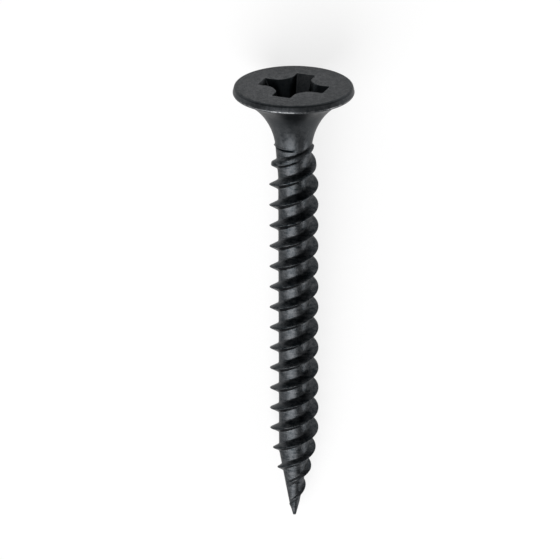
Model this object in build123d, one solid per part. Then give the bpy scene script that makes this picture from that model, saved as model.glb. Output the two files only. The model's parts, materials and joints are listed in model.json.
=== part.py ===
from build123d import *
import os
from math import atan, cos, degrees, pi, radians, sin, sqrt, tan

# A fine-thread drywall screw, all one piece of steel: a thin bugle head with a cross recess,
# a plain neck, a two-start right-hand thread and a sharp point.
# It is modelled along Z, in millimetres: the head's face lies in the plane z = 0 and the point
# is at z = LENGTH. At the end it is laid on its side, as it comes to rest on a floor, with the
# head at -Y and the point at +Y.

LENGTH = 31.75  # from the head's face to the point

# Head: a flat face, a rim that widens a little, and the hollow bugle curve under it.
HEAD_RADIUS = 4.10
FACE_RADIUS = 3.99
RIM_DEPTH = 0.42  # from the face to the widest part of the rim
RIM_BAND = 0.06  # the rim's straight band there
RIM_UNDERSIDE = 0.07  # how much lower than the band the bugle curve begins
BUGLE_RADIUS = 4.52  # radius of the hollow curve
NECK_RADIUS = 1.234
NECK_DEPTH = 4.386  # where the hollow curve ends and the neck begins
NECK_TAPER = 4.6  # degrees to each side

# Core and point.
CORE_RADIUS = 1.058
POINT_TAPER = 10.1  # degrees to each side
NIB_RADIUS = 0.34  # where the point becomes steeper
NIB_LENGTH = 1.05
TIP_RADIUS = 0.06  # the blunt end

# Thread: two starts side by side, so the lead is twice the distance between crests.
CREST_RADIUS = 1.68
LEAD = 3.0
STARTS = 2
THREAD_PHASE = 7.10  # depth at which the first start crosses the +X side
BASE_HALF = 0.365  # half the ridge's width at the core
CREST_HALF = 0.035  # half the width of its crest
FLANK_ANGLE = 27.5  # degrees, between a flank and a plane across the screw
ROOT_SINK = 0.08  # how far the ridge's underside is sunk in the core

# Run-out under the head: the crest rises over this stretch, from this radius.
RUNOUT_DEPTH = 4.0
RUNOUT_LENGTH = 3.0
RUNOUT_RADIUS = 1.37
RUNOUT_FADE = 0.25  # the ridge's very end rises out of the neck over this depth

# At the point the crests follow an ogive, and each start ends at its own distance from the tip.
OGIVE_LENGTH = 6.75
OGIVE_DROP = 1.58
OGIVE_POWER = 1.45
END_GAPS = (0.45, 2.25)
END_FADES = (0.45, 1.3)
END_TUCK = 0.02  # a ridge's very end lies this far under the core's surface
STEPS_PER_TURN = 24

# Cross recess for a number 2 driver.
RECESS_SPAN = 4.70  # from tip to tip of two opposite arms at the face
ARM_WIDTH = 1.32  # at the face
CORNER_DISTANCE = 1.43  # from the axis to the slanted wall between two arms, at the face
RECESS_DEPTH = 2.85
ARM_SLOPE = 26.5  # degrees, an arm's outer end against the axis
FLANK_DRAFT = 5.75  # degrees, an arm's sides
CORNER_DRAFT = 15.0  # degrees, the slanted walls
BOTTOM_ANGLE = 138.0  # included angle of the bottom cone
CORNER_FILLET = 0.3  # where an arm's side meets a slanted wall
RECESS_TURN = 21.5  # degrees, one arm's direction from +X
CUT_MARGIN = 0.3  # how far a cutter reaches past the face

CORE_DEPTH = NECK_DEPTH + (NECK_RADIUS - CORE_RADIUS) / tan(radians(NECK_TAPER))
NIB_DEPTH = LENGTH - NIB_LENGTH
POINT_DEPTH = NIB_DEPTH - (CORE_RADIUS - NIB_RADIUS) / tan(radians(POINT_TAPER))
BUGLE_CENTRE_RADIUS = NECK_RADIUS + BUGLE_RADIUS * cos(radians(NECK_TAPER))
BUGLE_CENTRE_DEPTH = NECK_DEPTH + BUGLE_RADIUS * sin(radians(NECK_TAPER))
UNDERSIDE_DEPTH = RIM_DEPTH + RIM_BAND + RIM_UNDERSIDE
OGIVE_DEPTH = LENGTH - OGIVE_LENGTH
END_DEPTHS = [LENGTH - gap for gap in END_GAPS]


def bugle_radius(depth):
    """Radius of the hollow curve under the head."""
    down = depth - BUGLE_CENTRE_DEPTH
    return BUGLE_CENTRE_RADIUS - sqrt(BUGLE_RADIUS**2 - down**2)


def core_radius(depth):
    """Radius of the plain body between the threads."""
    if depth < NECK_DEPTH:
        return bugle_radius(depth)
    if depth < CORE_DEPTH:
        return NECK_RADIUS - (depth - NECK_DEPTH) * tan(radians(NECK_TAPER))
    if depth < POINT_DEPTH:
        return CORE_RADIUS
    if depth < NIB_DEPTH:
        return CORE_RADIUS - (depth - POINT_DEPTH) * tan(radians(POINT_TAPER))
    return NIB_RADIUS - (NIB_RADIUS - TIP_RADIUS) * (depth - NIB_DEPTH) / NIB_LENGTH


def crest_radius(depth):
    """Radius of the thread's crests where they are whole."""
    if depth < RUNOUT_DEPTH + RUNOUT_LENGTH:
        risen = max(0.0, (depth - RUNOUT_DEPTH) / RUNOUT_LENGTH)
        return RUNOUT_RADIUS + (CREST_RADIUS - RUNOUT_RADIUS) * risen
    if depth < OGIVE_DEPTH:
        return CREST_RADIUS
    along = (depth - OGIVE_DEPTH) / OGIVE_LENGTH
    return CREST_RADIUS - OGIVE_DROP * along**OGIVE_POWER


def crest_half(depth, height):
    """Half the crest's width: broad where the thread runs out under the head, else sharp."""
    if depth > OGIVE_DEPTH:
        return CREST_HALF
    return max(CREST_HALF, BASE_HALF - height * tan(radians(FLANK_ANGLE)))


def make_body():
    """Head, neck, core and point, turned about Z."""
    middle = (NECK_DEPTH + UNDERSIDE_DEPTH) / 2
    rim = Polyline(
        (0, 0),
        (FACE_RADIUS, 0),
        (HEAD_RADIUS, RIM_DEPTH),
        (HEAD_RADIUS, RIM_DEPTH + RIM_BAND),
        (bugle_radius(UNDERSIDE_DEPTH), UNDERSIDE_DEPTH),
    )
    bugle = ThreePointArc(rim @ 1, (bugle_radius(middle), middle), (NECK_RADIUS, NECK_DEPTH))
    shank = Polyline(
        bugle @ 1,
        (CORE_RADIUS, CORE_DEPTH),
        (CORE_RADIUS, POINT_DEPTH),
        (NIB_RADIUS, NIB_DEPTH),
        (TIP_RADIUS, LENGTH),
        (0, LENGTH),
        (0, 0),
    )
    profile = make_face(Plane.XZ * (rim + bugle + shank))
    return revolve(profile, Axis.Z)


def ridge_section(depth, start):
    """The four corners of a start's ridge at a depth, as (radius, depth) from lower to upper flank."""
    rise = min(1.0, (depth - RUNOUT_DEPTH) / RUNOUT_FADE)
    fall = min(1.0, (END_DEPTHS[start] - depth) / END_FADES[start])
    whole = max(0.0, min(rise, fall))
    core = core_radius(depth)
    height = (crest_radius(depth) - core) * whole - END_TUCK * (1 - whole)
    half = crest_half(depth, height)
    base_half = BASE_HALF + ROOT_SINK * tan(radians(FLANK_ANGLE))
    return (
        (core - ROOT_SINK, depth - base_half),
        (core + height, depth - half),
        (core + height, depth + half),
        (core - ROOT_SINK, depth + base_half),
    )


def make_ridge(start, first, last):
    """A start's ridge between two depths: a closed solid between four curves round the core."""
    phase = THREAD_PHASE + start * LEAD / STARTS
    steps = round((last - first) / LEAD * STEPS_PER_TURN)
    corners = ([], [], [], [])
    for step in range(steps + 1):
        depth = first + (last - first) * step / steps
        turn = 2 * pi * (depth - phase) / LEAD
        for corner, (radius, height) in zip(corners, ridge_section(depth, start)):
            corner.append((radius * cos(turn), radius * sin(turn), height))
    curves = [Edge.make_spline(points) for points in corners]
    sides = [Face.make_surface_from_curves(curves[i], curves[(i + 1) % 4]) for i in range(4)]
    caps = [Face(Wire.make_polygon([points[end] for points in corners])) for end in (0, -1)]
    return Solid(Shell(sides + caps))


def make_thread():
    """All starts, each as a chain of pieces of about one turn that meet end to end."""
    pieces = []
    for start, end in enumerate(END_DEPTHS):
        count = round((end - RUNOUT_DEPTH) / LEAD)
        turn = (end - RUNOUT_DEPTH) / count
        for piece in range(count):
            first = RUNOUT_DEPTH + piece * turn
            pieces.append(make_ridge(start, first, first + turn))
    return pieces


def tapered_block(length, width, length_taper, width_taper):
    """A block that narrows with depth by two angles, cut from above the face to the full depth."""

    def section(depth):
        size = (
            length - 2 * depth * tan(radians(length_taper)),
            width - 2 * depth * tan(radians(width_taper)),
        )
        return Pos(0, 0, depth) * Rectangle(*size)

    return loft([section(-CUT_MARGIN), section(RECESS_DEPTH)], ruled=True)


def is_inner_corner(edge):
    """Whether an edge of the cross is one where an arm's side meets a slanted wall."""
    middle = edge @ 0.5
    steep = abs((edge @ 1).Z - (edge @ 0).Z) > RECESS_DEPTH
    return steep and sqrt(middle.X**2 + middle.Y**2) < CORNER_DISTANCE


def make_recess():
    """The space of the cross recess: two crossed arms and a slanted core over a shallow cone."""
    arm = tapered_block(RECESS_SPAN, ARM_WIDTH, ARM_SLOPE, FLANK_DRAFT)
    corner = tapered_block(2 * CORNER_DISTANCE, 2 * CORNER_DISTANCE, CORNER_DRAFT, CORNER_DRAFT)
    cross = arm + Rot(0, 0, 90) * arm + Rot(0, 0, 45) * corner
    inner = [edge for edge in cross.edges() if is_inner_corner(edge)]
    cross = fillet(inner, CORNER_FILLET)
    height = RECESS_DEPTH + CUT_MARGIN
    mouth = height * tan(radians(BOTTOM_ANGLE / 2))
    bottom = Pos(0, 0, RECESS_DEPTH - height / 2) * Cone(mouth, 0, height)
    return Rot(0, 0, RECESS_TURN) * (cross & bottom)


def lean_angle():
    """The angle at which the rim and one crest touch the floor together.

    The floor is on the +Y side, where the two starts cross at these depths.
    """
    spacing = LEAD / STARTS
    crossing = THREAD_PHASE + LEAD / 4
    angles = []
    while crossing < LENGTH - NIB_LENGTH:
        drop = HEAD_RADIUS - crest_radius(crossing)
        angles.append(atan(drop / (crossing - RIM_DEPTH - RIM_BAND)))
        crossing += spacing
    return degrees(min(angles))


def lay_down(screw):
    """Turn the screw from the Z axis to lie along Y, and put the middle of its foot at the origin."""
    lying = Rot(-(90 + lean_angle()), 0, 0) * screw
    box = lying.bounding_box()
    return Pos(-box.center().X, -box.center().Y, -box.min.Z) * lying


screw = make_body().fuse(*make_thread()) - make_recess()
screw = lay_down(screw)
print("lean", round(lean_angle(), 3), "size", screw.bounding_box().size, "solids", len(screw.solids()))

os.makedirs("parts", exist_ok=True)
export_step(screw, "parts/drywall_screw.step")
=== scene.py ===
# %% [markdown]
# A drywall screw, laid on a floor
#
# The real object is one piece of steel wire. A press upsets one end into a thin head with a
# hollow curve under it and a cross recess in it, two flat dies roll the thread and pinch the
# point, and a bath of phosphate turns the steel nearly black.
#
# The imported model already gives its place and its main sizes. It could be shown as it is with a
# better material, but its edges are knife-sharp and its thread has no root or crest rounding.
# So this lesson models the same screw again with a finer skin, and puts it in the same place.

# %% Load the frame
import json

import bmesh
import bpy
from math import acos, asin, atan2, ceil, cos, hypot, pi, radians, sin, sqrt, tan
from mathutils import Matrix, Vector


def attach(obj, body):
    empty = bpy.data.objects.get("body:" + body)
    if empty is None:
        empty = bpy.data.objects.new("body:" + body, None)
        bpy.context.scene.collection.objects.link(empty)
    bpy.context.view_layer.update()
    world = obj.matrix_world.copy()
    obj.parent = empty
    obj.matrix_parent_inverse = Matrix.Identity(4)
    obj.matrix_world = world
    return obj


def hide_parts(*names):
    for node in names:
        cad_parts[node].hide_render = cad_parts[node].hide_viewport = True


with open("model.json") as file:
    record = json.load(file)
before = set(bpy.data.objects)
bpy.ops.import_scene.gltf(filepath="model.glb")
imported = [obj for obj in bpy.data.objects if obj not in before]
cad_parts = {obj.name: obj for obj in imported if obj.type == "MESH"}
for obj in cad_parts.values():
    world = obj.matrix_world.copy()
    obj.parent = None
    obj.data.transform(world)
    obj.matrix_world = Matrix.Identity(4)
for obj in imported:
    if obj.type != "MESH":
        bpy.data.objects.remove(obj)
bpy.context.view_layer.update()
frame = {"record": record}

# %% [markdown]

# %% [markdown]
# A screw is easiest to model upright, in its own axes: the head's face in the plane z = 0, and
# the depth below the face growing along +Z to the point. All its sizes are in millimetres.
# The recess's mount in the record says where the face's centre lies on the floor's frame and
# where the head points, so one matrix takes the finished mesh there, and no angle is guessed.

# %% The screw's own axes
MM = 0.001

mounts = {mount["name"]: mount for mount in frame["record"]["mounts"]}
face_centre = Vector(mounts["drive_recess"]["pos_m"])
to_head = Vector(mounts["drive_recess"]["axis"]).normalized()
across = Vector((1, 0, 0))
to_floor = across.cross(to_head)
axes = Matrix((across, to_floor, -to_head)).transposed()
lay_down = Matrix.Translation(face_centre) @ axes.to_4x4() @ Matrix.Scale(MM, 4)
print("face centre", face_centre, "head towards", to_head)

# %% [markdown]
# The driving sizes come next. The head's radius is read from its mount, as those of the recess
# and the crests are later, and the others are what the heading punch and the thread dies give
# this screw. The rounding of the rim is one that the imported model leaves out, because no punched
# edge is truly sharp, and for the same reason the point is a hair blunter here.

# %% Sizes in millimetres
LENGTH = 31.75
HEAD_RADIUS = mounts["bugle_seat"]["dims"]["r_mm"]
FACE_RADIUS = 3.99
RIM_ROUNDING = 0.155
BUGLE_RADIUS = 4.52
NECK_RADIUS = 1.234
NECK_DEPTH = 4.386
NECK_TAPER = radians(4.6)
CORE_RADIUS = 1.058
POINT_TAPER = radians(10.1)
NIB_RADIUS = 0.36
NIB_LENGTH = 1.05
TIP_RADIUS = 0.09

BUGLE_CENTRE_RADIUS = NECK_RADIUS + BUGLE_RADIUS * cos(NECK_TAPER)
BUGLE_CENTRE_DEPTH = NECK_DEPTH + BUGLE_RADIUS * sin(NECK_TAPER)
CORE_DEPTH = NECK_DEPTH + (NECK_RADIUS - CORE_RADIUS) / tan(NECK_TAPER)
NIB_DEPTH = LENGTH - NIB_LENGTH
POINT_DEPTH = NIB_DEPTH - (CORE_RADIUS - NIB_RADIUS) / tan(POINT_TAPER)
print("core from", round(CORE_DEPTH, 2), "point from", round(POINT_DEPTH, 2), "mm below the face")

# %% [markdown]
# The head is a body of revolution, so half its outline is enough: a short chain of vertices,
# spun once round Z. From the edge of the face a straight side widens to the rim, which is a small
# arc, and that arc runs into the large one of the hollow curve without a corner. Both arcs have
# their vertices spaced by angle, because steps of depth would leave the rim coarse.
#
# The chain stops at the neck and at the edge of the face. Both ends stay open for now, because
# the thread joins on at one and the recess at the other.

# %% Spin the head
HEAD_STEPS = 144
RIM_STEPS = 8
BUGLE_STEPS = 28
NECK_CUT = 3.92


def arc(centre, radius, first, last, steps):
    """Points (radius, depth) along an arc, from one angle to another."""
    angles = [first + (last - first) * step / steps for step in range(steps + 1)]
    return [(centre[0] + radius * cos(turn), centre[1] + radius * sin(turn)) for turn in angles]


def head_outline():
    """Points (radius, depth) from the edge of the face, round the rim and down the neck."""
    bugle_centre = (BUGLE_CENTRE_RADIUS, BUGLE_CENTRE_DEPTH)
    apart = BUGLE_RADIUS + RIM_ROUNDING
    meet = acos((BUGLE_CENTRE_RADIUS - HEAD_RADIUS + RIM_ROUNDING) / apart)
    rim_depth = BUGLE_CENTRE_DEPTH - apart * sin(meet)
    rim_centre = (HEAD_RADIUS - RIM_ROUNDING, rim_depth)
    side = atan2(rim_centre[0] - FACE_RADIUS, rim_depth)
    side += asin(RIM_ROUNDING / hypot(rim_centre[0] - FACE_RADIUS, rim_depth))
    neck = asin((BUGLE_CENTRE_DEPTH - NECK_CUT) / BUGLE_RADIUS)
    rim = arc(rim_centre, RIM_ROUNDING, -side, meet, RIM_STEPS)
    hollow = arc(bugle_centre, BUGLE_RADIUS, pi + meet, pi + neck, BUGLE_STEPS)
    return [(FACE_RADIUS, 0), *rim, *hollow[1:]]


def add_chain(bm, points):
    """Vertices at these points and the edges between them."""
    verts = [bm.verts.new(point) for point in points]
    edges = [bm.edges.new(pair) for pair in zip(verts, verts[1:])]
    return verts, edges


bm = bmesh.new()
verts, edges = add_chain(bm, [(radius, 0, depth) for radius, depth in head_outline()])
bmesh.ops.spin(
    bm,
    geom=verts + edges,
    cent=(0, 0, 0),
    axis=(0, 0, 1),
    angle=2 * pi,
    steps=HEAD_STEPS,
    use_merge=True,
)
print("head", len(bm.faces), "faces")

# %% [markdown]
# The punch that makes the recess has four tapered arms round a tapered square core. A Boolean
# could cut it out, but the walls are only two loops of the same cross at two depths: each loop
# has sixteen corners, and bridge_loops puts the walls between them.

# %% Walls of the cross recess
RECESS_RADIUS = mounts["drive_recess"]["dims"]["r_mm"]
RECESS_DEPTH = mounts["drive_recess"]["dims"]["length_mm"]
ARM_WIDTH = 1.32
CORNER_DISTANCE = 1.43
ARM_SLOPE = radians(26.5)
FLANK_DRAFT = radians(5.75)
CORNER_DRAFT = radians(15)
RECESS_TURN = radians(21.5)
BOTTOM_RISE = 0.33
QUARTER = pi / 2


def cross_loop(bm, depth):
    """The sixteen corners of the recess at a depth, as a closed loop of edges."""
    reach = RECESS_RADIUS - depth * tan(ARM_SLOPE)
    side = ARM_WIDTH / 2 - depth * tan(FLANK_DRAFT)
    inner = sqrt(2) * (CORNER_DISTANCE - depth * tan(CORNER_DRAFT)) - side
    corners = []
    for arm in range(4):
        turn = Matrix.Rotation(RECESS_TURN + arm * QUARTER, 3, "Z")
        for x, y in ((inner, -side), (reach, -side), (reach, side), (inner, side)):
            corners.append(bm.verts.new(turn @ Vector((x, y, depth))))
    return [bm.edges.new((corners[i - 1], corners[i])) for i in range(len(corners))]


mouth = cross_loop(bm, 0)
foot = cross_loop(bm, RECESS_DEPTH - BOTTOM_RISE)
walls = bmesh.ops.bridge_loops(bm, edges=mouth + foot)["faces"]
print("recess", len(walls), "walls")

# %% [markdown]
# Bevelling the upright edges gives the wide inner and the small outer roundings of the punch. The
# inner ones are given as a percentage of the walls beside them, because these walls grow narrow
# towards the foot, where a rounding of the width that suits the mouth wouldn't fit.

# %% Round the corners of the recess
INNER_ROUNDING = 30  # percent of the walls beside it
OUTER_ROUNDING = 0.09
STEEP_RISE = 1.0  # an edge of a wall that rises more than this runs down the recess


def upright_edges(faces, near, far):
    """Edges of these walls that run down the recess, between two distances from the axis."""
    edges = dict.fromkeys(edge for face in faces for edge in face.edges)
    steep = [e for e in edges if abs(e.verts[0].co.z - e.verts[1].co.z) > STEEP_RISE]
    mouth = [min(edge.verts, key=lambda vert: vert.co.z) for edge in steep]
    return [edge for edge, vert in zip(steep, mouth) if near < vert.co.xy.length < far]


def round_off(bm, edges, offset, segments, offset_type="OFFSET"):
    """Bevels edges, by a width or by a percentage of the edges beside them."""
    bmesh.ops.bevel(
        bm,
        geom=edges,
        offset=offset,
        offset_type=offset_type,
        segments=segments,
        profile=0.5,
        affect="EDGES",
        material=-1,
    )


middle = (CORNER_DISTANCE * sqrt(2) + RECESS_RADIUS) / 2
inner_edges = upright_edges(walls, 0, middle)
outer_edges = upright_edges(walls, middle, FACE_RADIUS)
round_off(bm, inner_edges, INNER_ROUNDING, segments=6, offset_type="PERCENT")
round_off(bm, outer_edges, OUTER_ROUNDING, segments=3)
print("recess rounded at", len(inner_edges), "inner and", len(outer_edges), "outer edges")

# %% [markdown]
# Two openings are closed next. The floor of the recess is one face that is poked, so that its
# middle can go down to the full depth, as the punch's shallow cone leaves it. The flat face is a
# disc with a cross-shaped hole, which triangle_fill makes from its two loops of edges.

# %% Close the recess and the face
CLOSE = 1e-4  # how near a vertex has to be to count as lying in a place


def open_edges(bm, depth):
    """Boundary edges that lie in the plane at this depth."""
    return [
        edge
        for edge in bm.edges
        if edge.is_boundary and all(abs(vert.co.z - depth) < CLOSE for vert in edge.verts)
    ]


foot_edges = open_edges(bm, RECESS_DEPTH - BOTTOM_RISE)
bottom = bmesh.ops.contextual_create(bm, geom=foot_edges)["faces"]
peak = bmesh.ops.poke(bm, faces=bottom)["verts"][0]
peak.co = (0, 0, RECESS_DEPTH)

face_edges = open_edges(bm, 0)
mouth_edges = [edge for edge in face_edges if edge.verts[0].co.xy.length < RECESS_RADIUS + CLOSE]
bmesh.ops.triangle_fill(bm, edges=face_edges, use_beauty=True, normal=(0, 0, -1))
bmesh.ops.recalc_face_normals(bm, faces=bm.faces[:])
print("face from", len(face_edges), "edges, floor from", len(foot_edges))

# %% [markdown]
# The sharp edges now get the small roundings of a punched and tumbled head. Without them each
# edge would be a hard line between two tones, and these thin bands are what catches the light on
# a black screw.

# %% Round the edges of the head
MOUTH_ROUNDING = 0.035
FOOT_ROUNDING = 0.06
FACE_ROUNDING = 0.12


def ring_edges(bm, radius, depth):
    """Edges of the ring at this distance from the axis and this depth."""
    return [
        edge
        for edge in bm.edges
        if all(
            abs(vert.co.z - depth) < CLOSE and abs(vert.co.xy.length - radius) < CLOSE
            for vert in edge.verts
        )
    ]


round_off(bm, foot_edges, FOOT_ROUNDING, segments=2)
round_off(bm, mouth_edges, MOUTH_ROUNDING, segments=3)
round_off(bm, ring_edges(bm, FACE_RADIUS, 0), FACE_ROUNDING, segments=6)
print("head with recess", len(bm.faces), "faces")

# %% [markdown]
# The lower edge of the rim knocks against other screws in the box, so it is rubbed, and a painted
# highlight line is laid along it as well. The rim's side, the hollow under the rim and the recess
# get painted shade. A painted mask could say so, but these places are plain rings and depths. So
# a formula puts a number on each vertex, which the finish reads later: above 1 where the skin is
# rubbed and painted with the highlight, 0 where nothing happens to it and below 0 where shade is
# painted.

# %% Mark the rubbed and highlit rim edge and the painted shade
RIM_EDGE = 0.45
RIM_EDGE_HALF = 0.14
# the rim's lower edge gets both its wear and a painted highlight line
RIM_WEAR_AND_HIGHLIGHT = 1.4
RIM_SIDE = 0.2
# painted shade on the rim's side, in the hollow under the rim and in the recess
RIM_SIDE_PAINTED_SHADE = 0.10
HOLLOW_DEPTH = 1.1
HOLLOW_HALF = 1.9
HOLLOW_PAINTED_SHADE = 0.064
RECESS_PAINTED_SHADE = 0.07


def swell(value):
    """1 at 0, falling smoothly to nothing at 1 and -1."""
    return max(0, 1 - value * value) ** 2


def wear_highlight_and_shade(place):
    """How rubbed and painted with the highlight, above 0, or painted with shade, below 0, the head
    is at a place.
    """
    reach = hypot(RECESS_RADIUS - place.z * tan(ARM_SLOPE), ARM_WIDTH / 2)
    if place.xy.length < reach + MOUTH_ROUNDING:
        return -RECESS_PAINTED_SHADE * min(1, place.z / MOUTH_ROUNDING)
    worn_and_highlit = RIM_WEAR_AND_HIGHLIGHT * swell((place.z - RIM_EDGE) / RIM_EDGE_HALF)
    hollow = HOLLOW_PAINTED_SHADE * swell((place.z - HOLLOW_DEPTH) / HOLLOW_HALF)
    side = RIM_SIDE_PAINTED_SHADE * swell((place.z - RIM_SIDE) / RIM_SIDE)
    return worn_and_highlit or -max(hollow, side)


rise_layer = bm.verts.layers.float.new("rise")
for vert in bm.verts:
    vert[rise_layer] = wear_highlight_and_shade(vert.co)
print("rubbed_and_highlit", sum(vert[rise_layer] > 0.5 for vert in bm.verts), "vertices of the head")

# %% [markdown]
# The thread has two starts: two ridges that wind side by side, each moving on by one lead a
# turn. Winding two ridges round a core would leave seams where they meet it. Instead one skin
# makes core and ridges together: a straight line of vertices, a little longer than the screw, is
# spun once round and shifted by one lead meanwhile. Each vertex then lands on the one that stands
# a lead further down the line, so the sheet welds into a tube with rows of vertices that follow
# the helix.
#
# The vertices along the line stand close together at the crests and roots, and far apart
# between them.

# %% Spin the thread's skin
CREST_RADIUS = mounts["threaded_shank"]["dims"]["r_mm"]
LEAD = 3.0
STARTS = 2
SPACING = LEAD / STARTS
THREAD_PHASE = 7.10
TURN_STEPS = 96
CREST_STEPS = (0.015, 0.03, 0.05, 0.09, 0.14, 0.19, 0.24)
ROOT_STEPS = (0.28, 0.31, 0.34, 0.38, 0.44, 0.54, 0.65)
WELD = 0.001
SKIN_TOP = 3.97

steps = CREST_STEPS + ROOT_STEPS
offsets = [-SPACING / 2, *(-step for step in reversed(steps)), 0, *steps]
first_ridge = THREAD_PHASE - SPACING * ceil((THREAD_PHASE - SKIN_TOP + LEAD) / SPACING + 1)
ridges = ceil((LENGTH - first_ridge) / SPACING)
line = [first_ridge + ridge * SPACING + offset for ridge in range(ridges) for offset in offsets]

skin = bmesh.new()
verts, edges = add_chain(skin, [(1, 0, depth) for depth in line])
bmesh.ops.spin(
    skin,
    geom=verts + edges,
    cent=(0, 0, 0),
    axis=(0, 0, 1),
    dvec=(0, 0, LEAD / TURN_STEPS),
    angle=2 * pi,
    steps=TURN_STEPS,
    use_merge=False,
)
bmesh.ops.remove_doubles(skin, verts=skin.verts[:], dist=WELD)
print("skin", len(skin.faces), "faces over", ridges, "ridges")

# %% [markdown]
# The tube's ends are ragged, and its vertices follow the helix, so no ring of them lies square
# to the axis. bisect_plane cuts both ends off square, and cuts once through at each depth where
# the screw's outline bends or the edge of the dies left its mark.

# %% Cut the skin
TIP_HEIGHT = 0.05
SKIN_END = LENGTH - TIP_HEIGHT
DIE_END = 4.2  # depth at which the dies' edge met the neck
LIP_STEP = 0.035  # between the rings of vertices there
RINGS_ABOVE = 4
RINGS_BELOW = 7
LAST_RING = 0.15  # how far under the end of the bugle's curve the last of them lies


def cut_across(bm, depth, above=False, below=False):
    """Cuts the skin square at a depth, and clears what lies above or below if asked."""
    bmesh.ops.bisect_plane(
        bm,
        geom=bm.verts[:] + bm.edges[:] + bm.faces[:],
        dist=CLOSE,
        plane_co=(0, 0, depth),
        plane_no=(0, 0, 1),
        clear_inner=above,
        clear_outer=below,
    )


cut_across(skin, SKIN_TOP, above=True)
cut_across(skin, SKIN_END, below=True)
lip_cuts = [DIE_END + LIP_STEP * step for step in range(-RINGS_ABOVE, RINGS_BELOW + 1)]
for depth in (*lip_cuts, NECK_DEPTH + LAST_RING, CORE_DEPTH, POINT_DEPTH, NIB_DEPTH):
    cut_across(skin, depth)
print("cut skin", len(skin.faces), "faces")

# %% [markdown]
# The tube is still a plain cylinder of radius 1. Two outlines say how far its surface moves in
# or out at each depth. The first is the plain body between the ridges: hollow curve, tapered
# neck, even core, tapered point and a steeper nib.
#
# The second is the line that the crests reach: low where the thread runs out under the head,
# full along the shank, and falling away in a curve towards the point.

# %% Outlines of the core and the crests
RUNOUT_DEPTH = 4.0
RUNOUT_LENGTH = 3.0
RUNOUT_RADIUS = 1.37
OGIVE_DEPTH = 25.0
OGIVE_DROP = 1.58
OGIVE_POWER = 1.45


def core_radius(depth):
    """Radius of the plain body between the ridges."""
    if depth < NECK_DEPTH:
        return BUGLE_CENTRE_RADIUS - sqrt(BUGLE_RADIUS**2 - (BUGLE_CENTRE_DEPTH - depth) ** 2)
    if depth < CORE_DEPTH:
        return NECK_RADIUS - (depth - NECK_DEPTH) * tan(NECK_TAPER)
    if depth < POINT_DEPTH:
        return CORE_RADIUS
    if depth < NIB_DEPTH:
        return CORE_RADIUS - (depth - POINT_DEPTH) * tan(POINT_TAPER)
    return NIB_RADIUS - (NIB_RADIUS - TIP_RADIUS) * (depth - NIB_DEPTH) / NIB_LENGTH


def crest_radius(depth):
    """Radius that the ridges reach."""
    if depth < RUNOUT_DEPTH + RUNOUT_LENGTH:
        risen = max(0, depth - RUNOUT_DEPTH) / RUNOUT_LENGTH
        return RUNOUT_RADIUS + (CREST_RADIUS - RUNOUT_RADIUS) * risen
    along = max(0, depth - OGIVE_DEPTH) / (LENGTH - OGIVE_DEPTH)
    return CREST_RADIUS - OGIVE_DROP * along**OGIVE_POWER


full_height = CREST_RADIUS - CORE_RADIUS
print("a whole ridge is", round(full_height, 3), "mm high")

# %% [markdown]
# A place's depth and its angle say how far it is from the middle of the nearest ridge, and the
# ridge's cross-section gives the height there: two straight flanks, cut off at the crest's line.
# Soft forms of max and min round the root and the crest, as rolled metal does.
#
# At the point the ridges keep a little more width than their flanks alone would leave them, and
# each of the two ends at its own distance from the tip. Under the head they start narrow and
# suddenly, where the edge of the dies stood.

# %% Cross-section of a ridge
BASE_HALF = 0.365
CREST_HALF = 0.03
FLANK_SLOPE = tan(radians(27.5))
ROOT_BLEND = 0.05
CREST_BLEND = 0.06
END_DEPTHS = (31.3, 29.5)
END_FADES = (0.45, 1.3)
END_WIDENING = 0.07
DIE_FADE = 0.07
START_HALF = 0.25
START_LENGTH = 1.2


def soft_max(first, second, blend):
    """The larger value, with the corner between them rounded."""
    return (first + second + sqrt((first - second) ** 2 + blend**2)) / 2


def soft_min(first, second, blend):
    """The smaller value, with the corner between them rounded."""
    return -soft_max(-first, -second, blend)


def ease(value):
    """0 below 0, 1 above 1 and a smooth step between them."""
    value = max(0, min(1, value))
    return value * value * (3 - 2 * value)


def nearest_ridge(place):
    """How far a place is from a ridge's middle, along the axis, and which start's ridge it is."""
    turns = atan2(place.y, place.x) / (2 * pi)
    ridges = ((place.z - THREAD_PHASE) / LEAD - turns) * STARTS
    return (ridges - round(ridges)) * SPACING, round(ridges) % STARTS


def ridge_height(place):
    """Height of the ridges over the core at a place on the skin."""
    offset, start = nearest_ridge(place)
    depth = place.z
    limit = max(0, crest_radius(depth) - core_radius(depth))
    started = ease((depth - DIE_END) / START_LENGTH)
    base = START_HALF + (BASE_HALF - START_HALF) * started
    if depth > OGIVE_DEPTH:
        along = (depth - OGIVE_DEPTH) / (LENGTH - OGIVE_DEPTH)
        base = CREST_HALF + END_WIDENING * along + limit * FLANK_SLOPE
    flank = (base - abs(offset)) / FLANK_SLOPE
    height = soft_min(soft_max(flank, 0, ROOT_BLEND), limit, CREST_BLEND)
    rise = ease((depth - DIE_END) / DIE_FADE)
    fall = min(1, max(0, END_DEPTHS[start] - depth) / END_FADES[start])
    return max(0, height) * min(rise, fall)


print("crest over the core", round(ridge_height(Vector((1, 0, THREAD_PHASE))), 3), "mm")

# %% [markdown]
# The edge of the dies also leaves a low lip and a groove round most of the neck. They are shallow
# bumps in depth, faded in and out round the neck, so they are added to the ridge's height.

# %% Mark of the dies
LIP_HEIGHT = 0.03
LIP_HALF = 0.12
GROOVE_DEPTH = 0.09
GROOVE_HALF = 0.085
GROOVE_BELOW = 2.5 * LIP_STEP
MARK_START = radians(-100)
MARK_START_FADE = radians(20)
MARK_END = radians(175)
MARK_END_FADE = radians(25)


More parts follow.
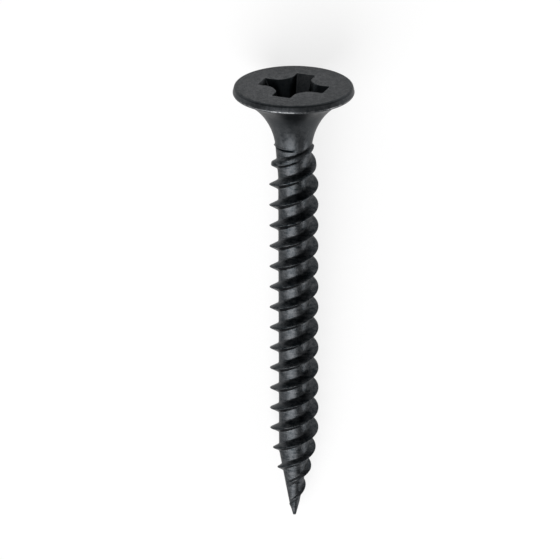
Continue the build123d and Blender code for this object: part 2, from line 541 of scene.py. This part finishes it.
def die_mark(place):
    """The low lip and groove that the dies' edge leaves round most of the neck."""
    turn = atan2(place.y, place.x)
    reach = ease((turn - MARK_START) / MARK_START_FADE) * ease((MARK_END - turn) / MARK_END_FADE)
    lip = LIP_HEIGHT * swell((place.z - DIE_END + LIP_STEP) / LIP_HALF)
    groove = GROOVE_DEPTH * swell((place.z - DIE_END - GROOVE_BELOW) / GROOVE_HALF)
    return (lip - groove) * reach


print("groove at a depth of", round(DIE_END + GROOVE_BELOW, 3), "mm")

# %% [markdown]
# Now each vertex moves straight in or out to the screw's surface. A modifier with a texture of
# heights could do so too, but it would blur the roots, and the formulas place every vertex
# exactly. How high it stands on a ridge, as a share of a whole ridge, is kept in the same
# attribute that marks the head's rubbed and highlit rim and its painted shade. The dies' groove
# comes out below 0 in it, so the groove gets painted shade as well.

# %% Shape the thread
rise_layer = skin.verts.layers.float.new("rise")
for vert in skin.verts:
    height = ridge_height(vert.co) + die_mark(vert.co)
    vert[rise_layer] = height / full_height
    radius = core_radius(vert.co.z) + height
    vert.co.xy = vert.co.xy.normalized() * radius
print("crest radius", round(max(vert.co.xy.length for vert in skin.verts), 3), "mm")

# %% [markdown]
# Head and thread become one closed skin. bridge_loops joins the two rings at the neck, and the
# open end at the point is filled and poked, with its middle pulled out to the screw's full
# length. A closed skin has no boundary edges, so counting them shows whether anything was
# missed, and its volume is printed beside them.

# %% Join head and thread
skin_mesh = bpy.data.meshes.new("skin")
skin.to_mesh(skin_mesh)
skin.free()
bm.from_mesh(skin_mesh)
bpy.data.meshes.remove(skin_mesh)

bmesh.ops.bridge_loops(bm, edges=open_edges(bm, NECK_CUT) + open_edges(bm, SKIN_TOP))
cap = bmesh.ops.contextual_create(bm, geom=open_edges(bm, SKIN_END))["faces"]
tip = bmesh.ops.poke(bm, faces=cap)["verts"][0]
tip.co = (0, 0, LENGTH)

bmesh.ops.recalc_face_normals(bm, faces=bm.faces[:])
left_open = [edge for edge in bm.edges if not edge.is_manifold]
print("open edges", len(left_open), "volume", round(bm.calc_volume(), 2), "cubic mm")

# %% [markdown]
# Every face is shaded smooth but the flat face of the head: its long triangles would otherwise
# take up the bend of the roundings round them. Creases sharper than the angle below stay crisp.
# The mesh is then scaled to metres and laid down in one step, so the object itself stays at the
# origin, unturned.

# %% Lay the screw down
CREASE = radians(42)
FLAT = 0.99999  # cosine between a face and the head's face, from which it lies in its plane

bmesh.ops.transform(bm, matrix=lay_down, verts=bm.verts[:])
mesh = bpy.data.meshes.new("threaded_body")
bm.to_mesh(mesh)
bm.free()
mesh.set_sharp_from_angle(angle=CREASE)
for polygon in mesh.polygons:
    polygon.use_smooth = polygon.normal.dot(to_head) < FLAT
screw = bpy.data.objects.new("threaded_body", mesh)
bpy.context.scene.collection.objects.link(screw)
triangles = sum(len(polygon.vertices) - 2 for polygon in mesh.polygons)
print("screw", triangles, "triangles")

# %% [markdown]
# Materials are written as sums. This small class holds one output of a shader node, and the
# arithmetic signs on it add the Math nodes. Everything that isn't plain arithmetic, such as a
# noise, comes from its one method add, which sets the node's settings before its sockets.

# %% A helper for shader maths


class Signal:
    """An output in a material's node tree that can be used in sums."""

    def __init__(self, tree, socket=None):
        self.tree = tree
        self.socket = socket

    def add(self, kind, settings=None, sockets=None, output=0):
        """Adds a node and gives back one of its outputs."""
        node = self.tree.nodes.new("ShaderNode" + kind)
        for name, value in (settings or {}).items():
            setattr(node, name, value)
        for name, value in (sockets or {}).items():
            if isinstance(value, Signal):
                self.tree.links.new(value.socket, node.inputs[name])
            else:
                node.inputs[name].default_value = value
        return Signal(self.tree, node.outputs[output])

    def maths(self, operation, first, second):
        return self.add("Math", {"operation": operation}, {0: first, 1: second})

    def __add__(self, other):
        return self.maths("ADD", self, other)

    def __radd__(self, other):
        return self.maths("ADD", other, self)

    def __sub__(self, other):
        return self.maths("SUBTRACT", self, other)

    def __rsub__(self, other):
        return self.maths("SUBTRACT", other, self)

    def __mul__(self, other):
        return self.maths("MULTIPLY", self, other)

    def __rmul__(self, other):
        return self.maths("MULTIPLY", other, self)


# %% [markdown]
# Two helpers finish the set. A Math node turns a colour grey, so colours are blended by a Mix
# node. And each material starts in the same way: with an empty Signal, to which the first nodes
# are added, and with the main shader that the sums end in.

# %% Helpers for colours and materials


def mixed(start, factor, first, second):
    """A colour between two others."""
    sockets = {"Factor": factor, "A": first, "B": second}
    return start.add("Mix", {"data_type": "RGBA"}, sockets, output="Result")


def new_material(name):
    """A node material, the start of its sums and its main shader."""
    material = bpy.data.materials.new(name)
    material.use_nodes = True
    return material, Signal(material.node_tree), material.node_tree.nodes["Principled BSDF"]


# %% [markdown]
# Black phosphate is a crust of tiny crystals, filled with oil. Flat black paint would look dead
# beside it: the crust reflects like a very dark metal with a satin sheen, and it is never even.
# Three things break it up. The crystals are a fine grain. The oil lies in patches. And the marks
# of the tools show through: the head and neck are streaked along the wire, and the thread is
# streaked round it, where the dies rolled it. So a noise is stretched along the screw for one
# and across it for the other, and the neck is where they change over.

# %% Patterns of the crust
GRAIN_PER_METRE = 15000
PATCH_PER_METRE = 3200
STREAKS_PER_METRE = 9000
STRETCH = 0.14  # a length along a streak counts for this share, which draws the noise out


def noise(start, place, scale, detail):
    """A noise of about this many cells to a metre, around 0."""
    value = start.add("TexNoise", sockets={"Vector": place, "Scale": scale, "Detail": detail})
    return value - 0.5


def stretched(start, place, scale):
    """The same place, with some of its axes shortened, so that a noise there is drawn out."""
    return start.add("Mapping", sockets={"Vector": place, "Scale": scale})


def crust_patterns(start, place, threaded):
    """The grain, the patches and the streaks, each a number around 0."""
    grain = noise(start, place, GRAIN_PER_METRE, 2)
    patch = noise(start, place, PATCH_PER_METRE, 3)
    drawn = noise(start, stretched(start, place, (1, STRETCH, 1)), STREAKS_PER_METRE, 2)
    rolled = noise(start, stretched(start, place, (STRETCH, 1, STRETCH)), STREAKS_PER_METRE, 2)
    return grain, patch, drawn + (rolled - drawn) * threaded


print("grain of about", round(1 / GRAIN_PER_METRE / MM, 3), "mm")

# %% [markdown]
# The head's face, the neck and the thread differ a little in look. One material can serve all
# three, because the depth below the face tells them apart: it is the distance of a place from
# the plane of the face, and a ramp turns it into a share from 0 to 1 that blends two looks.

# %% Zones of the crust
FACE_EDGE = 0.00002  # metres below the face at which its own look ends


def ramp(start, value, low, high):
    """0 at the low value and before it, 1 from the high one on, and straight between them."""
    return start.add("MapRange", sockets={"Value": value, "From Min": low, "From Max": high})


def crust_zones(start, place):
    """How far a place belongs to the face and how far to the thread; the neck is neither."""
    towards = start.add(
        "VectorMath", {"operation": "DOT_PRODUCT"}, {0: place, 1: to_head}, output="Value"
    )
    depth = to_head.dot(face_centre) - towards
    return ramp(start, depth, FACE_EDGE, 0), ramp(start, depth, DIE_END * MM, NECK_DEPTH * MM)


print("thread's look from", DIE_END, "to", NECK_DEPTH, "mm below the face")

# %% [markdown]
# The skin's own attribute says the rest. Where it is above 1, at the rim's lower edge, the crust
# is rubbed through in spots and the steel shows grey, and the same grey is a painted highlight
# along that edge. Below 0 it is a groove, a hollow, the rim's side or the recess, which get
# painted shade, nearly black. Between 0 and 1 it is the height on a ridge's flank, which the next
# cell uses.

# %% Colour of the crust
THICK_CRUST = (0.012, 0.016, 0.019, 1)
THIN_CRUST = (0.098, 0.101, 0.106, 1)
# the grey of the rubbed rim edge, which also serves as its painted highlight
RUBBED_AND_HIGHLIGHT = (0.23, 0.235, 0.24, 1)
RUBBED_AND_HIGHLIGHT_RISE = (0.95, 1.3)
RUBBED_AND_HIGHLIGHT_NOISE = (-0.1, 0.15)
# painted shade: the near black of the grooves, the hollow, the rim's side and the recess
PAINTED_SHADE = (0.005, 0.008, 0.010, 1)
PAINTED_SHADE_RISE = (0, -0.1)


def crust_colour(start, tone, rise, spots):
    """The crust's colour at a tone, with the rubbed and highlit spots and the painted shade over
    it.
    """
    crust = mixed(start, tone, THICK_CRUST, THIN_CRUST)
    rubbed_and_highlit = ramp(start, rise, *RUBBED_AND_HIGHLIGHT_RISE) * ramp(start, spots, *RUBBED_AND_HIGHLIGHT_NOISE)
    worn_and_highlit = mixed(start, rubbed_and_highlit, crust, RUBBED_AND_HIGHLIGHT)
    return mixed(start, ramp(start, rise, *PAINTED_SHADE_RISE), worn_and_highlit, PAINTED_SHADE)


print("crust from", THICK_CRUST[:3], "to", THIN_CRUST[:3])

# %% [markdown]
# Now the parts come together. The tone says how thin the crust is, and the patterns move it up
# and down: most on the face, less on the thread and least on the smooth neck. The flanks of the
# ridges get painted shade, as a lower tone. Where patches and streaks are dark they
# are oily, so they shine a little more. Grain and streaks also make a slight bump, because the
# crust is rough to the touch.

# %% Black phosphate
METAL = 1.0
EDGE_DAMPING = 0.7  # grey that tints the reflections at a grazing angle
TONE = 0.46  # how thin the crust is on the whole
FACE_TONE = 0.02
# painted shade on the ridges' flanks: how far the tone drops, and from which heights
FLANK_PAINTED_SHADE = 0.22
FLANK_SHADE_RISE = (0.1, 0.6)  # between which heights a flank's look sets in
PATCH_SHARE = 2.0
STREAK_SHARE = 1.5
GRAIN_SHARE = 2.0
NECK_CONTRAST = 0.35
THREAD_CONTRAST = 0.65
FACE_CONTRAST = 0.9  # added to the neck's
SHEEN_ROUGHNESS = 0.37
ROUGH_PATCHES = 0.24
ROUGH_STREAKS = 0.14
GRAIN_HEIGHT = 0.000016  # metres


def phosphate_finish():
    """The dark uneven crust, with its grain, its rubbed and highlit edge, and painted shade on the
    flanks and in the hollows.
    """
    material, start, shader = new_material("black_phosphate")
    place = start.add("TexCoord", output="Object")
    rise = start.add("Attribute", {"attribute_name": "rise"}, output="Fac")
    face, threaded = crust_zones(start, place)
    grain, patch, streak = crust_patterns(start, place, threaded)
    contrast = NECK_CONTRAST + (THREAD_CONTRAST - NECK_CONTRAST) * threaded + FACE_CONTRAST * face
    uneven = patch * PATCH_SHARE + streak * STREAK_SHARE + grain * GRAIN_SHARE
    # painted shade on the ridges' flanks, which lowers the tone below
    flank = ramp(start, rise, *FLANK_SHADE_RISE) * threaded
    tone = TONE + face * FACE_TONE - flank * FLANK_PAINTED_SHADE + uneven * contrast
    colour = crust_colour(start, tone, rise, patch + grain)
    roughness = SHEEN_ROUGHNESS + patch * ROUGH_PATCHES + streak * ROUGH_STREAKS
    relief = {"Strength": 1.0, "Distance": GRAIN_HEIGHT, "Height": (grain + streak) * contrast}
    bump = start.add("Bump", sockets=relief)
    links = start.tree.links
    links.new(colour.socket, shader.inputs["Base Color"])
    links.new(roughness.socket, shader.inputs["Roughness"])
    links.new(bump.socket, shader.inputs["Normal"])
    shader.inputs["Metallic"].default_value = METAL
    shader.inputs["Specular Tint"].default_value = (EDGE_DAMPING,) * 3 + (1,)
    return material


screw.data.materials.append(phosphate_finish())
print("finish", screw.data.materials[0].name)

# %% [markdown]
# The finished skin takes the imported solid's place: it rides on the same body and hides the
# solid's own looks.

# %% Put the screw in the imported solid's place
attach(screw, "root")
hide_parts("drywall_screw")
print("screw rides on root")

# %% [markdown]
# The floor is a pale sweep, whose edge turns up a little far away, so that low views still have
# it behind the screw. Its own colour is grey, because a white floor would throw much light up at
# the screw. The camera and reflections see a glow added to that grey, which makes the floor
# white but lights nothing, and the screw's shadow stays.

# %% Pale finish of the floor
FLOOR_GREY = 0.22
FLOOR_GLOW = 0.78


def floor_finish():
    """Matt grey that looks white to the camera and in reflections."""
    material, start, shader = new_material("pale_floor")
    shader.inputs["Base Color"].default_value = (FLOOR_GREY, FLOOR_GREY, FLOOR_GREY, 1)
    shader.inputs["Roughness"].default_value = 1.0
    shader.inputs["Specular IOR Level"].default_value = 0.0
    path = start.add("LightPath")
    outputs = path.socket.node.outputs
    seen = sum(
        (Signal(path.tree, outputs[name]) for name in ("Is Glossy Ray", "Is Transmission Ray")),
        start=Signal(path.tree, outputs["Is Camera Ray"]),
    )
    glow = start.add("Emission", sockets={"Color": (1, 1, 1, 1), "Strength": seen * FLOOR_GLOW})
    both = start.add("AddShader", sockets={0: Signal(path.tree, shader.outputs[0]), 1: glow})
    end = material.node_tree.nodes["Material Output"]
    material.node_tree.links.new(both.socket, end.inputs["Surface"])
    return material


print("floor shows", round(FLOOR_GREY + FLOOR_GLOW, 2), "in full light")

# %% [markdown]
# The sweep itself is a disc, whose rim is extruded, scaled outwards and lifted. A flat disc would
# end below the horizon in low views and leave a dark band over itself. It is meshed coarsely,
# because nothing of it is seen but an even white.

# %% Floor and backdrop
FLOOR_RADIUS = 0.7
SWEEP_SCALE = 1.5
SWEEP_RISE = 0.045
FLOOR_SEGMENTS = 96

bm = bmesh.new()
bmesh.ops.create_circle(bm, cap_ends=True, radius=FLOOR_RADIUS, segments=FLOOR_SEGMENTS)
rim = [edge for edge in bm.edges if edge.is_boundary]
raised = bmesh.ops.extrude_edge_only(bm, edges=rim)["geom"]
raised = [item for item in raised if isinstance(item, bmesh.types.BMVert)]
bmesh.ops.scale(bm, vec=(SWEEP_SCALE, SWEEP_SCALE, 1), verts=raised)
bmesh.ops.translate(bm, vec=(0, 0, SWEEP_RISE), verts=raised)
bmesh.ops.recalc_face_normals(bm, faces=bm.faces[:])
mesh = bpy.data.meshes.new("floor")
bm.to_mesh(mesh)
bm.free()
floor = bpy.data.objects.new("floor", mesh)
bpy.context.scene.collection.objects.link(floor)
floor.data.materials.append(floor_finish())
print("floor", round(2 * FLOOR_RADIUS * SWEEP_SCALE, 1), "m across")

# %% [markdown]
# A black screw is only seen by what it reflects, so the light is chosen for its reflections. A
# large softbox stands beyond the point and a little to the left: it draws the soft bright streak
# down the left of the shank. A small low one on the right draws a thin second streak there and
# parts the lobes of the thread from each other, and a dimmer one on the left keeps that side's
# edge from going black. A dim even surround fills the rest. A sun lamp with a wide angle is such
# a softbox at any distance.

# %% Light
SURROUND = 0.3


def add_softbox(name, towards, width, strength):
    """A round soft source in this direction, of this width in degrees."""
    lamp = bpy.data.lights.new(name, "SUN")
    lamp.energy = strength
    lamp.angle = radians(width)
    softbox = bpy.data.objects.new(name, lamp)
    softbox.rotation_euler = Vector(towards).to_track_quat("Z", "Y").to_euler()
    bpy.context.scene.collection.objects.link(softbox)


add_softbox("key_softbox", (0.335, 0.544, 0.770), width=60, strength=3.0)
add_softbox("right_softbox", (-0.87, 0.48, 0.10), width=16, strength=0.55)
add_softbox("left_softbox", (0.83, 0.54, 0.12), width=20, strength=0.32)

world = bpy.data.worlds.new("surround")
world.use_nodes = True
world.node_tree.nodes["Background"].inputs["Color"].default_value = (SURROUND,) * 3 + (1,)
bpy.context.scene.world = world
print("lamps", len(bpy.data.lights))

# %% [markdown]
# The camera looks down on the lying screw as a product photograph looks at a standing one: the
# line of sight rises a little over the plane of the head's face, so the recess shows. The
# lens is long, and its distance follows from how much larger the head looks than the point.
#
# The line of sight through the picture's middle is not quite the line to the face, because the
# face is near the picture's top. These angles were measured in the photograph.

# %% Camera
PICTURE = 560
SENSOR = 36.0
FACE_ABOVE = radians(20.173)
FACE_DISTANCE = 0.3417
FOCAL_PIXELS = 5085
FACE_PIXEL = (294.0, 85.58)
ROLL = radians(-0.115)

to_camera = Vector((0, to_head.z, -to_head.y))
line_to_face = cos(FACE_ABOVE) * to_camera + sin(FACE_ABOVE) * to_head
eye = face_centre + FACE_DISTANCE * line_to_face
above_middle = atan2(PICTURE / 2 - FACE_PIXEL[1], FOCAL_PIXELS)
right_of_middle = atan2(FACE_PIXEL[0] - PICTURE / 2, FOCAL_PIXELS)
back = cos(FACE_ABOVE + above_middle) * to_camera + sin(FACE_ABOVE + above_middle) * to_head
up = cos(FACE_ABOVE + above_middle) * to_head - sin(FACE_ABOVE + above_middle) * to_camera
right = up.cross(back)
turned = Matrix((right, up, back)).transposed() @ Matrix.Rotation(right_of_middle, 3, "Y")
turned = turned @ Matrix.Rotation(ROLL, 3, "Z")

camera_data = bpy.data.cameras.new("camera")
camera_data.sensor_width = SENSOR
camera_data.lens = FOCAL_PIXELS * SENSOR / PICTURE
camera_data.clip_start = 0.01
camera_data.clip_end = 10
camera = bpy.data.objects.new("camera", camera_data)
camera.matrix_world = Matrix.Translation(eye) @ turned.to_4x4()
bpy.context.scene.collection.objects.link(camera)
bpy.context.scene.camera = camera
print("lens", round(camera_data.lens, 1), "mm at", round(FACE_DISTANCE, 3), "m")

# %% [markdown]
# Colours are shown as they are, without a film look.

# %% Finish
bpy.context.scene.view_settings.view_transform = "Standard"
